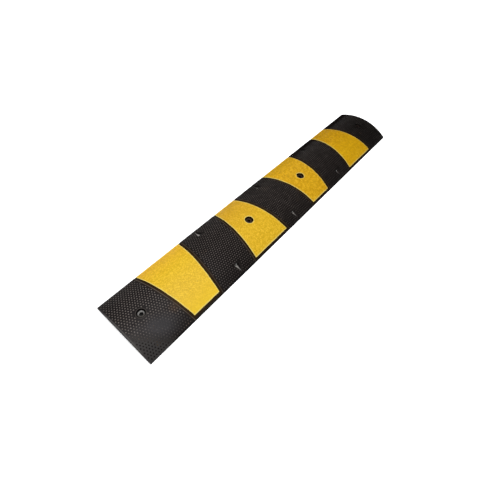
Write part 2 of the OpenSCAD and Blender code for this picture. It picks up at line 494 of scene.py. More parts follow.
    # Counterbores and bolt holes.
    for hx in HOLE_X:
        ring = np.array(circle(hx, 0, SINK_TOP))
        zt = surf(ring[:, 1], body_height(ring[:, 0], ring[:, 1]))
        rows = [np.c_[ring, zt]]
        unit = np.array(circle(0, 0, 1))
        r0 = SINK_TOP - 0.15
        z0 = float(zt.min()) - 1.0
        for t in (0.0, 0.5, 1.0):
            r = r0 + (SINK_FLOOR + 0.5 - r0) * t
            zz = z0 + (SINK_Z + 0.6 - z0) * t
            rows.append(np.c_[unit * r + [hx, 0], np.full(64, zz)])
        rows.append(np.c_[unit * (SINK_FLOOR + 0.15) + [hx, 0], np.full(64, SINK_Z + 0.15)])
        rows.append(np.c_[unit * (SINK_FLOOR - 0.35) + [hx, 0], np.full(64, SINK_Z)])
        rows.append(np.c_[unit * (BOLT_R + 0.6) + [hx, 0], np.full(64, SINK_Z)])
        rows.append(np.c_[unit * BOLT_R + [hx, 0], np.full(64, SINK_Z - 0.5)])
        rows.append(np.c_[unit * BOLT_R + [hx, 0], np.full(64, 20.0)])
        rows.append(np.c_[unit * BOLT_R + [hx, 0], np.full(64, 0.6)])
        rows.append(np.c_[unit * (BOLT_R + 0.5) + [hx, 0], np.zeros(64)])
        b.grid(np.array(rows), close=True, kind=0 if abs(hx) > 500 else 1, band=1.0)

    # Reflector notches: the cone, the upright back wall and the socket behind it.
    for ex in EYE_X:
        for s in (1, -1):
            flip = s < 0
            rows = []
            for jrow, (yy, half) in enumerate(zip(NOTCH_ROWS, NOTCH_WIDTHS, strict=True)):
                t = np.sin(np.linspace(-math.pi / 2, math.pi / 2, 25))
                xx = t * half
                zz = notch_floor(xx, np.full(25, yy))
                zz[[0, 24]] = visible(ex + xx[[0, 24]], np.full(2, s * yy))
                depth = max(zz[0] - zz[12], 0.02)
                zz[1:-1] = np.minimum(zz, zz[0] - depth * 0.5 * (1 - t**4))[1:-1]
                if jrow == len(NOTCH_ROWS) - 1:
                    zz[:] = zz[0]
                rows.append(np.c_[ex + xx, np.full(25, s * yy), zz])
            # The half of the cone that faces +X is painted pale, thickest and widest near the back wall: partly dust,
            # partly painted light on the half that faces the lamp.
            down = np.linspace(0, 1, len(rows))
            if s > 0:
                cut = 0.15 + 0.6 * np.clip(1 - down / 0.35, 0, 1)
                along = (1 - 0.45 * down**2) * (0.72 if ex < -100 else 0.32)
            else:
                cut = 0.12 + 0.3 * np.clip(1 - down / 0.4, 0, 1)
                along = np.clip(1.12 - 1.35 * down, 0, 1) * 0.8
            side = np.clip((cut[:, None] - t[None, :]) * 3.2, 0, 1)
            b.grid(np.array(rows), flip=not flip, band=1.0, dust=(along[:, None] * side).ravel())
            wall = Plan()
            top_x = NOTCH_WIDTHS[0] * _top
            top_z = visible(ex + top_x, np.full(13, s * EYE_Y))
            foot = [(p[0] - ex, p[2]) for p in rows[0]]
            outline = list(zip(top_x, top_z, strict=True)) + foot[-2:0:-1]
            wall.line(outline, closed=True)
            wall.line([(CUP_R * math.cos(a), EYE_Z + CUP_R * math.sin(a)) for a in np.arange(32) * math.pi / 16], closed=True)
            wv, wf = wall.solve()
            wc = centres(wv, wf)
            ok = (np.hypot(wc[:, 0], wc[:, 1] - EYE_Z) > CUP_R * 0.999) & (polygon_gap(wc[:, 0], wc[:, 1], np.array(outline)) < 0)
            wf = wf[ok]
            # The back wall's -X side is painted pale too: partly dust, partly painted light.
            wall_dust = 0.65 * np.clip(0.4 - wv[:, 0] / 7.0, 0, 0.9) * np.clip((wv[:, 1] - EYE_Z + 8.0) / 6.0, 0, 1)
            b.add(np.c_[wv[:, 0] + ex, np.full(len(wv), s * EYE_Y), wv[:, 1]], wf[:, ::-1] if s > 0 else wf, band=1.0, dust=wall_dust)
            ang = np.arange(32) * math.pi / 16
            tube = [
                np.c_[ex + CUP_R * np.cos(ang), np.full(32, s * yy), EYE_Z + CUP_R * np.sin(ang)]
                for yy in (EYE_Y, EYE_Y - CUP_L / 2, EYE_Y - CUP_L)
            ]
            b.grid(np.array(tube), close=True, flip=flip, band=1.0)
            b.add(tube[-1], [tuple(range(32)) if s < 0 else tuple(range(31, -1, -1))], band=1.0)

    # Upright lips all round, from the top's own outer edge down to the ground.
    rim = rim_edges(f)
    mid = v[rim].mean(1)
    rim = rim[(edge_gap(mid[:, 0], mid[:, 1]) < 0.05)]
    loop = loops_of(rim)
    assert len(loop) == 1, f"the outer edge has {len(loop)} loops"
    loop = np.array(loop[0])
    xy, zt = v[loop], z[loop]
    rows = [np.c_[xy, zt], np.c_[xy, np.maximum(zt - 0.5, 2.0)]]
    for level, inset in ((1.2, 0.0), (0.8, 0.03), (0.25, 0.25), (0.0, 0.8)):
        rows.append(np.c_[xy[:, 0] * (HX - inset) / HX, xy[:, 1] * (HY - inset) / HY, np.full(len(xy), level)])
    b.grid(np.array(rows), close=True, flip=True, kind=1)
    foot_loop = rows[-1][:, :2]

    # Underside: a flat base with hollow cells between ribs.
    under = Plan()
    under.line(foot_loop, closed=True)
    pitch = (L - 2 * END_BLOCK + CELL_RIB) / CELL_N
    cells = []
    for i in range(CELL_N):
        cx = -HX + END_BLOCK + i * pitch + (pitch - CELL_RIB) / 2
        for s in (1, -1):
            cy = s * (SPINE / 2 + CELL_W / 2)
            cells.append((cx, cy))
            ring = [(cx + px, cy + py) for px, py in rounded_rect((pitch - CELL_RIB) / 2, CELL_W / 2, 5.0, 9.0, 4)]
            under.line(ring, closed=True)
    for hx in HOLE_X:
        under.line(circle(hx, 0, BOSS_R, 72), closed=True)
        under.line(circle(hx, 0, BOLT_R + 0.5), closed=True)
    for s in (1, -1):
        for y in (CELL_W + SPINE / 2 + 10, CELL_W + SPINE / 2 + 30):
            under.dots([(x, s * y) for x in np.linspace(-HX + 20, HX - 20, 60)])
    uv, uf = under.solve()
    uc = centres(uv, uf)
    in_hole = np.minimum.reduce([np.hypot(uc[:, 0] - hx, uc[:, 1]) for hx in HOLE_X]) < BOLT_R + 0.5
    in_boss = np.minimum.reduce([np.hypot(uc[:, 0] - hx, uc[:, 1]) for hx in HOLE_X]) < BOSS_R
    outside = polygon_gap(uc[:, 0], uc[:, 1], foot_loop) > 0
    in_cell = np.zeros(len(uc), bool)
    for cx, cy in cells:
        qx = np.abs(uc[:, 0] - cx) - ((pitch - CELL_RIB) / 2 - 5)
        qy = np.abs(uc[:, 1] - cy) - (CELL_W / 2 - 5)
        in_cell |= np.hypot(np.maximum(qx, 0), np.maximum(qy, 0)) + np.minimum(np.maximum(qx, qy), 0) < 5.0
    in_cell &= ~in_boss
    flat = uf[~in_cell & ~in_hole & ~outside]
    roof = uf[in_cell]
    b.add(np.c_[uv, np.zeros(len(uv))], flat[:, ::-1])
    zr = surf(np.clip(uv[:, 1], -HY, HY), -SKIN)
    b.add(np.c_[uv, zr], roof[:, ::-1], band=1.0)
    edge = rim_edges(roof)
    for a, c2 in edge:
        pa, pb = uv[a], uv[c2]
        za, zb = float(surf(pa[1], -SKIN)), float(surf(pb[1], -SKIN))
        b.add([(pa[0], pa[1], 0), (pb[0], pb[1], 0), (pb[0], pb[1], zb), (pa[0], pa[1], za)], [(0, 1, 2, 3)], band=1.0)
    return b.mesh("bump_body_rubber", ("band", "wear", "lip", "dust"), 34.0)


def dot_distance(p, row):
    shift = -HX + 9.0 + (DOT_PITCH / 2 if row % 2 == 1 else 0.0)
    gx = round((p[0] - shift) / DOT_PITCH) * DOT_PITCH + shift
    return math.hypot(p[0] - gx, p[1] - row * DOT_ROW)


body = build_body()
report_mesh(body)
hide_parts("bump_body")
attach(body, "root")


# ---------------------------------------------------------------- the yellow panels
def ripple(x, y, seed):
    """A slow unevenness of a sheet, about 1 at most."""
    r = np.random.default_rng(seed)
    total = np.zeros_like(x)
    for _ in range(9):
        wave = r.uniform(28, 120)
        a, p = r.uniform(0, 2 * math.pi), r.uniform(0, 2 * math.pi)
        total += np.sin(2 * math.pi * (x * math.cos(a) + y * math.sin(a)) / wave + p) * wave / 120
    return total / 3.2


def crease(x, y, cx, cy, radius, from_deg, to_deg, width):
    """A soft ridge along an arc."""
    a = np.degrees(np.arctan2(y - cy, x - cx)) % 360
    mid, half = (from_deg + to_deg) / 2, (to_deg - from_deg) / 2
    off = np.abs((a - mid + 180) % 360 - 180)
    along = np.clip(1 - (off / half) ** 4, 0, 1)
    return np.exp(-(((np.hypot(x - cx, y - cy) - radius) / width) ** 2)) * along


def panel_outline(i, inset):
    """Outline of a panel moved inwards, with small round corners and a slightly uneven hand-cut edge."""
    corners = []
    for sx, sy in ((-1, -1), (1, -1), (1, 1), (-1, 1)):
        y = END_A - inset if sy > 0 else -END_B[i] + inset
        corners.append(np.array((sx * (panel_half(i, y) - inset / SLANT), y)))
    r = max(2.2 - inset, 0.4)
    pts = []
    for k in range(4):
        p, a, c = corners[k], corners[k - 1], corners[(k + 1) % 4]
        ua, uc = (a - p) / np.linalg.norm(a - p), (c - p) / np.linalg.norm(c - p)
        start, end = p + ua * r, p + uc * r
        for t in np.linspace(0, 1, 7):
            pts.append((1 - t) ** 2 * start + 2 * t * (1 - t) * p + t * t * end)
        after = c + (p - c) / np.linalg.norm(p - c) * r
        n = int(np.linalg.norm(after - end) // 5)
        for t in np.arange(1, n) / n:
            pts.append(end + (after - end) * t)
    pts = np.array(pts)
    wobble = 0.35 * np.sin(pts[:, 1] / 37.0 + i * 1.7) + 0.2 * np.sin(pts[:, 1] / 11.0 + i)
    inner = (pts[:, 1] < END_A - inset - 3) & (pts[:, 1] > -END_B[i] + inset + 3)
    pts[:, 0] += wobble * np.where(inner, 1, 0)
    return pts


def build_panel(i):
    b = Builder()
    plan = Plan()
    outer = panel_outline(i, 0.0)
    for g in (0.0, 0.1, 0.28, 0.55, 0.9):
        plan.line(panel_outline(i, g), closed=True)
    hole = i in (1, 2)
    hx = HOLE_X[i] - PANEL_X[i]
    if hole:
        for g in (0.0, 0.12, 0.35, 0.75, 1.2, 2.0, 3.0):
            plan.line(circle(hx, 0, CUT_R + g, 96), closed=True)
    step = 3.6
    pts = []
    for j, y in enumerate(np.arange(-END_B[i] + 2.5, END_A - 2, step * 0.866)):
        half = panel_half(i, y) - 2.5
        for x in np.arange(-half + (step / 2 if j % 2 else 0), half, step):
            if not hole or math.hypot(x - hx, y) > CUT_R + 4.5:
                pts.append((x, y))
    plan.dots(pts)
    v, f = plan.solve()
    c = centres(v, f)
    keep = polygon_gap(c[:, 0], c[:, 1], outer) < 0
    if hole:
        keep &= np.hypot(c[:, 0] - hx, c[:, 1]) > CUT_R
    f = f[keep]
    used = np.unique(f)
    back = np.full(len(v), -1)
    back[used] = np.arange(len(used))
    v, f = v[used], back[f]
    x, y = v[:, 0], v[:, 1]
    gap = -polygon_gap(x, y, outer)
    gap = np.maximum(gap, 0)
    lift = 0.11 * ripple(x, y, 20 + i)
    fold = np.zeros_like(x)
    if hole:
        rho = np.hypot(x - hx, y) - CUT_R
        gap = np.minimum(gap, np.maximum(rho, 0))
        lift += 0.3 * np.exp(-(((rho - 2.2) / 1.6) ** 2))
    if i == 2:
        fold += crease(x, y, hx, 0, 36.0, 105, 225, 2.4)
        fold += 0.6 * crease(x, y, hx - 8, 14, 50.0, 140, 205, 3.0)
    if i == 1:
        fold += 0.6 * crease(x, y, hx, 0, 33.0, 290, 20 + 360, 2.8)
    lift += 0.45 * fold
    bend = rounded(edge_gap(x + PANEL_X[i], y), 1.6)  # the sheet follows the body's rounded outer edge
    h = P_T - FLOOR + lift * np.clip(gap / 2.0, 0, 1) + rounded(gap, 0.7) + bend
    top = np.c_[x + PANEL_X[i], y, surf(y, h)]
    edge = np.clip(1 - gap / 5.0, 0, 1)
    b.add(top, f, rim=edge, fold=fold)
    low = np.c_[x + PANEL_X[i], y, surf(y, -FLOOR + 0.02 + bend)]
    b.add(low, f[:, ::-1], rim=1.0)
    rim = rim_edges(f)
    for loop in loops_of(rim):
        loop = np.array(loop)
        b.grid(np.array([top[loop], low[loop]]), close=True, flip=True, rim=1.0)
    return b.mesh(f"yellow_panel_{i + 1}_sheet", ("rim", "fold"))


panels = []
for i in range(4):
    p = build_panel(i)
    report_mesh(p)
    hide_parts(f"yellow_panel_{i + 1}")
    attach(p, "root")
    panels.append(p)


# ---------------------------------------------------------------- washers, cups and lenses
def lathe(name, profile, centre, axis, n=72, closed=True):
    """Turns a profile of (radius, height) about an axis. A radius of 0 closes an end."""
    b = Builder()
    rows = []
    for r, t in profile:
        a = np.arange(n) * 2 * math.pi / n
        rows.append(np.c_[r * np.cos(a), r * np.sin(a), np.full(n, t)])
    rows = np.array(rows)
    if closed:
        rows = np.concatenate([rows, rows[:1]])
    q = Vector(axis).to_track_quat("Z", "Y").to_matrix()
    m = np.array(q)
    rows = rows @ m.T + np.asarray(centre, float)
    b.grid(rows, close=True)
    ob = b.mesh(name, (), 35.0, 1e-4)
    return ob


washers, cups, lenses = [], [], []
for k, hx in enumerate(HOLE_X):
    r0, r1, t = BOLT_R, 14.0, 3.0
    prof = [
        (r0 + 0.35, 0.02), (r1 - 0.5, 0.02), (r1 - 0.12, 0.16), (r1 - 0.02, 0.5), (r1 - 0.02, t - 1.0),
        (r1 - 0.25, t - 0.45), (r1 - 0.8, t - 0.12), (r1 - 1.5, t - 0.02), (r1 - 2.4, t - 0.1),
        (r0 + 2.0, t - 0.28), (r0 + 0.9, t - 0.32), (r0 + 0.3, t - 0.5), (r0 + 0.05, t - 0.9), (r0 + 0.05, 0.4),
    ]
    w = lathe(f"bolt_washer_{k + 1}_plate", prof, (hx, 0, SINK_Z), (0, 0, 1))
    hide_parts(f"bolt_washer_{k + 1}")
    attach(w, "root")
    washers.append(w)

for side, s in (("left", 1), ("right", -1)):
    for k, ex in enumerate(EYE_X, 1):
        ri, ro = CUP_R - CUP_WALL, CUP_R
        prof = [
            (0.0, -CUP_L + 0.02), (ro - 0.8, -CUP_L + 0.02), (ro - 0.25, -CUP_L + 0.2), (ro - 0.02, -CUP_L + 0.8),
            (ro - 0.02, -0.55), (ro - 0.12, -0.2), (ro - 0.4, 0.0), (ri + 0.45, 0.0), (ri + 0.15, -0.15), (ri + 0.02, -0.5),
            (ri + 0.02, -CUP_L + CUP_WALL + 0.4), (ri - 0.4, -CUP_L + CUP_WALL), (0.0, -CUP_L + CUP_WALL),
        ]
        cup = lathe(f"reflector_cup_{side}_{k}_shell", prof, (ex, s * EYE_Y, EYE_Z), (0, s, 0), 48, closed=False)
        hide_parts(f"reflector_cup_{side}_{k}")
        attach(cup, "root")
        cups.append(cup)
        dome = ri * 1.25
        prof = [(0.0, -CUP_L + CUP_WALL + 0.03), (ri - 0.6, -CUP_L + CUP_WALL + 0.03), (ri - 0.03, -CUP_L + CUP_WALL + 0.5)]
        zc = 1.4 - dome
        a1 = math.asin(min(1, (ri - 0.03) / dome))
        prof += [(ri - 0.03, zc + dome * math.cos(a1) - 1.5)]
        prof += [(dome * math.sin(a), zc + dome * math.cos(a)) for a in np.linspace(a1, 0, 9)]
        prof[-1] = (0.0, 1.4)
        lens = lathe(f"reflector_lens_{side}_{k}_glass", prof, (ex, s * EYE_Y, EYE_Z), (0, s, 0), 48, closed=False)
        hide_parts(f"reflector_lens_{side}_{k}")
        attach(lens, "root")
        lenses.append(lens)
for o in washers[:1] + cups[:1] + lenses[:1]:
    report_mesh(o)


# ---------------------------------------------------------------- materials
def material(name):
    m = bpy.data.materials.new(name)
    m.use_nodes = True
    nt = m.node_tree
    nt.nodes.clear()
    out = nt.nodes.new("ShaderNodeOutputMaterial")
    sh = nt.nodes.new("ShaderNodeBsdfPrincipled")
    nt.links.new(sh.outputs[0], out.inputs[0])
    return m, nt, sh


def noise(nt, coord, scale, detail=3.0, rough=0.55, distortion=0.0):
    n = nt.nodes.new("ShaderNodeTexNoise")
    n.inputs["Scale"].default_value = scale
    n.inputs["Detail"].default_value = detail
    n.inputs["Roughness"].default_value = rough
    n.inputs["Distortion"].default_value = distortion
    nt.links.new(coord, n.inputs["Vector"])
    return n.outputs["Fac"]


def voronoi(nt, coord, scale, feature="F1", out="Distance"):
    n = nt.nodes.new("ShaderNodeTexVoronoi")
    n.feature = feature
    n.inputs["Scale"].default_value = scale
    nt.links.new(coord, n.inputs["Vector"])
    return n.outputs[out]


def ramp(nt, value, lo_in, hi_in, lo_out=0.0, hi_out=1.0):
    n = nt.nodes.new("ShaderNodeMapRange")
    n.inputs["From Min"].default_value = lo_in
    n.inputs["From Max"].default_value = hi_in
    n.inputs["To Min"].default_value = lo_out
    n.inputs["To Max"].default_value = hi_out
    nt.links.new(value, n.inputs["Value"])
    return n.outputs["Result"]


def calc(nt, op, a, b=None, c=None):
    n = nt.nodes.new("ShaderNodeMath")
    n.operation = op
    for k, x in enumerate((a, b, c)):
        if x is None:
            continue
        if isinstance(x, (int, float)):
            n.inputs[k].default_value = x
        else:
            nt.links.new(x, n.inputs[k])
    return n.outputs[0]


def mix(nt, fac, a, b, blend="MIX"):
    n = nt.nodes.new("ShaderNodeMix")
    n.data_type = "RGBA"
    n.blend_type = blend
    for sock, x in ((n.inputs[0], fac), (n.inputs[6], a), (n.inputs[7], b)):
        if isinstance(x, (int, float)):
            sock.default_value = x
        elif isinstance(x, tuple):
            sock.default_value = (*x, 1.0)
        else:
            nt.links.new(x, sock)
    return n.outputs[2]


def attribute(nt, name):
    n = nt.nodes.new("ShaderNodeAttribute")
    n.attribute_name = name
    return n.outputs["Fac"]


def coords(nt):
    return nt.nodes.new("ShaderNodeTexCoord").outputs["Object"]


def bump(nt, sh, layers):
    """Bump layers as (height, distance in metres, strength), the first one deepest."""
    last = None
    for height, distance, strength in layers:
        n = nt.nodes.new("ShaderNodeBump")
        n.inputs["Distance"].default_value = distance
        n.inputs["Strength"].default_value = strength
        nt.links.new(height, n.inputs["Height"])
        if last is not None:
            nt.links.new(last, n.inputs["Normal"])
        last = n.outputs["Normal"]
    nt.links.new(last, sh.inputs["Normal"])


def rubber(name, gloss):
    m, nt, sh = material(name)
    co = coords(nt)
    wear, band = attribute(nt, "wear"), attribute(nt, "band")
    crumb = noise(nt, co, 900.0, 2.0)
    fine = noise(nt, co, 240.0, 4.0)
    patch = noise(nt, co, 9.0, 4.0, 0.6)
    cloud = noise(nt, co, 3.1, 2.0)
    base = mix(nt, ramp(nt, fine, 0.35, 0.7), (0.0035, 0.0026, 0.0024), (0.0065, 0.0050, 0.0046))
    base = mix(nt, ramp(nt, patch, 0.42, 0.72, 0.0, 0.5), base, (0.0095, 0.0076, 0.0068))
    # Pale stud and bead tops: partly wear, partly a painted highlight on the studs.
    worn_and_highlight = calc(nt, "MULTIPLY", wear, ramp(nt, cloud, 0.32, 0.68, 0.6, 1.0))
    parts = nt.nodes.new("ShaderNodeSeparateXYZ")
    nt.links.new(co, parts.inputs[0])
    # Painted light falloff: the pale tops fade towards +X, further from the key light.
    worn_and_highlight = calc(nt, "MULTIPLY", worn_and_highlight, ramp(nt, parts.outputs[0], -0.75, 0.75, 1.0, 0.36))
    flank = ramp(nt, calc(nt, "ABSOLUTE", parts.outputs[1]), 0.085, 0.14, 1.0, 0.55)
    worn_and_highlight = calc(nt, "MULTIPLY", worn_and_highlight, flank)
    # Beyond the near end, the pale tops (wear and painted highlight) are fainter on the -Y flank, and the +Y flank
    # less shiny.
    shy = calc(nt, "MULTIPLY", ramp(nt, parts.outputs[1], -0.02, -0.09), ramp(nt, parts.outputs[0], -0.5, -0.1))
    worn_and_highlight = calc(nt, "MULTIPLY", worn_and_highlight, calc(nt, "SUBTRACT", 1.0, calc(nt, "MULTIPLY", shy, 0.4)))
    far = ramp(nt, parts.outputs[0], -0.5, -0.1)
    mott = ramp(nt, noise(nt, co, 38.0, 2.0), 0.35, 0.65, -0.45, 0.45)
    worn_and_highlight = calc(nt, "MULTIPLY", worn_and_highlight, calc(nt, "ADD", 1.0, calc(nt, "MULTIPLY", mott, far)))
    dull = calc(nt, "MULTIPLY", ramp(nt, parts.outputs[1], 0.085, 0.125), ramp(nt, parts.outputs[0], -0.45, 0.25))
    hollow = ramp(nt, calc(nt, "ABSOLUTE", calc(nt, "ADD", parts.outputs[0], 0.41)), 0.04, 0.2, 0.45, 0.0)
    dull = calc(nt, "MAXIMUM", dull, hollow)
    # Painted sheen: on a patch of the near end field the ground is painted paler and bluish and the stud tops darker,
    # as where the ground mirrors an overhead light.
    sheen_spot = nt.nodes.new("ShaderNodeMapping")
    sheen_spot.vector_type = "TEXTURE"
    sheen_spot.inputs["Location"].default_value = (-0.80, -0.08, 0.03)
    sheen_spot.inputs["Rotation"].default_value = (0, 0, -0.5)
    sheen_spot.inputs["Scale"].default_value = (0.085, 0.05, 0.2)
    nt.links.new(co, sheen_spot.inputs[0])
    reach = nt.nodes.new("ShaderNodeVectorMath")
    reach.operation = "LENGTH"
    nt.links.new(sheen_spot.outputs[0], reach.inputs[0])
    painted_sheen = ramp(nt, calc(nt, "ADD", reach.outputs["Value"], calc(nt, "MULTIPLY", patch, 0.8)), 1.45, 0.75)
    worn_and_highlight = calc(nt, "MULTIPLY", worn_and_highlight, calc(nt, "SUBTRACT", 1.0, calc(nt, "MULTIPLY", painted_sheen, 0.85)))
    base = mix(nt, painted_sheen, base, (0.031, 0.0295, 0.032))
    rub = calc(nt, "MULTIPLY", ramp(nt, parts.outputs[1], -0.095, -0.115), ramp(nt, parts.outputs[0], -0.82, -0.78))
    rub = calc(nt, "MULTIPLY", rub, ramp(nt, parts.outputs[0], -0.68, -0.72))
    worn_and_highlight = calc(nt, "MULTIPLY", worn_and_highlight, calc(nt, "SUBTRACT", 1.0, calc(nt, "MULTIPLY", rub, 0.5)))
    # Painted sheen: one corner of the near end has its ground between the studs painted paler and its studs darker, as
    # where the ground mirrors an overhead light.
    toward = calc(nt, "ADD", calc(nt, "ADD", parts.outputs[0], parts.outputs[1]), calc(nt, "MULTIPLY", patch, 0.05))
    corner = ramp(nt, toward, -0.905, -0.955)
    worn_and_highlight = calc(nt, "MULTIPLY", worn_and_highlight, calc(nt, "SUBTRACT", 1.0, corner))
    between = calc(nt, "MULTIPLY", corner, calc(nt, "SUBTRACT", 1.0, wear))
    base = mix(nt, between, base, (0.034, 0.0315, 0.0305))
    dull = calc(nt, "MAXIMUM", dull, calc(nt, "MULTIPLY", calc(nt, "MULTIPLY", corner, wear), 0.9))
    base = mix(nt, worn_and_highlight, base, (0.165, 0.140, 0.128))
    # Painted highlight, partly wear: a pale line along the beads and notch rims, fading towards +X as painted light
    # falloff.
    lip = calc(nt, "MULTIPLY", attribute(nt, "lip"), ramp(nt, noise(nt, co, 34.0, 3.0), 0.35, 0.65, 0.25, 1.0))
    lip = calc(nt, "MULTIPLY", lip, ramp(nt, parts.outputs[0], -0.75, 0.3, 1.0, 0.3))
    base = mix(nt, lip, base, (0.26, 0.235, 0.215))
    base = mix(nt, calc(nt, "MULTIPLY", band, 0.4), base, (0.0095, 0.0078, 0.0074))
    # Brown dirt gathers along the panels' slanted sides.
    dirt = 0.0
    for k in range(4):
        long = calc(nt, "ABSOLUTE", calc(nt, "SUBTRACT", parts.outputs[0], (k - 1.5) * 0.412))
        slant = calc(nt, "MULTIPLY", parts.outputs[1], math.tan(math.radians(9.1)) * (-1 if k % 2 == 0 else 1))
        beside = calc(nt, "SUBTRACT", calc(nt, "ADD", long, slant), 0.0905)
        dirt = calc(nt, "MAXIMUM", dirt, ramp(nt, beside, 0.021, 0.004, 0.0, 0.8))
    dirt = calc(nt, "MULTIPLY", dirt, ramp(nt, parts.outputs[2], 0.004, 0.012))
    base = mix(nt, dirt, base, (0.026, 0.0125, 0.002))
    # The near end's top edge is painted pale, less so towards its corners: partly scuffing, partly a painted highlight
    # along its rounded edge.
    edge_scuff_and_highlight = calc(nt, "MULTIPLY", ramp(nt, parts.outputs[0], -0.9100, -0.9120), ramp(nt, parts.outputs[0], -0.91495, -0.9146))
    edge_scuff_and_highlight = calc(nt, "MULTIPLY", edge_scuff_and_highlight, ramp(nt, parts.outputs[1], 0.07, 0.11, 1.0, 0.5))
    edge_scuff_and_highlight = calc(nt, "MULTIPLY", edge_scuff_and_highlight, ramp(nt, parts.outputs[1], -0.120, -0.095, 0.1, 1.0))
    base = mix(nt, edge_scuff_and_highlight, base, (0.072, 0.067, 0.063))
    brown = calc(nt, "MULTIPLY", ramp(nt, noise(nt, co, 16.0, 3.0), 0.60, 0.70), calc(nt, "MAXIMUM", wear, attribute(nt, "lip")))
    base = mix(nt, calc(nt, "MULTIPLY", brown, 0.55), base, (0.125, 0.085, 0.058))
    # A rusty patch on the near end field, beside the first panel.
    rust = nt.nodes.new("ShaderNodeVectorMath")
    rust.operation = "DISTANCE"
    rust.inputs[1].default_value = (-0.724, -0.068, 0.043)
    nt.links.new(co, rust.inputs[0])
    rust = ramp(nt, calc(nt, "ADD", rust.outputs["Value"], calc(nt, "MULTIPLY", fine, 0.02)), 0.036, 0.014)
    rust = calc(nt, "MULTIPLY", rust, calc(nt, "MAXIMUM", wear, 0.3))
    base = mix(nt, calc(nt, "MULTIPLY", rust, 0.55), base, (0.150, 0.085, 0.040))
    # Pale dust in the notches, which also paints the light on their +X-facing halves.
    dust = calc(nt, "MULTIPLY", attribute(nt, "dust"), ramp(nt, noise(nt, co, 120.0, 3.0), 0.35, 0.6, 0.5, 1.0))
    base = mix(nt, dust, base, (0.46, 0.435, 0.41))
    specks = ramp(nt, voronoi(nt, co, 330.0), 0.06, 0.16, 1.0, 0.0)
    gate = ramp(nt, noise(nt, co, 60.0, 1.0), 0.58, 0.66)
    base = mix(nt, calc(nt, "MULTIPLY", calc(nt, "MULTIPLY", specks, gate), 0.4), base, (0.10, 0.09, 0.08))
    nt.links.new(base, sh.inputs["Base Color"])
    rough = calc(nt, "ADD", ramp(nt, patch, 0.3, 0.7, 0.50, 0.62), ramp(nt, fine, 0.3, 0.7, -0.04, 0.05))
    rough = calc(nt, "SUBTRACT", rough, calc(nt, "MULTIPLY", wear, 0.18))
    nt.links.new(rough, sh.inputs["Roughness"])
    nt.links.new(calc(nt, "MULTIPLY", calc(nt, "SUBTRACT", 1.0, dull), gloss), sh.inputs["Specular IOR Level"])
    nt.links.new(mix(nt, dirt, mix(nt, far, (1.0, 0.94, 0.93), (1.0, 0.85, 0.79)), (1.0, 0.60, 0.22)), sh.inputs["Specular Tint"])
    bump(nt, sh, [(fine, 0.0006, 0.35), (crumb, 0.00018, 0.45)])
    return m


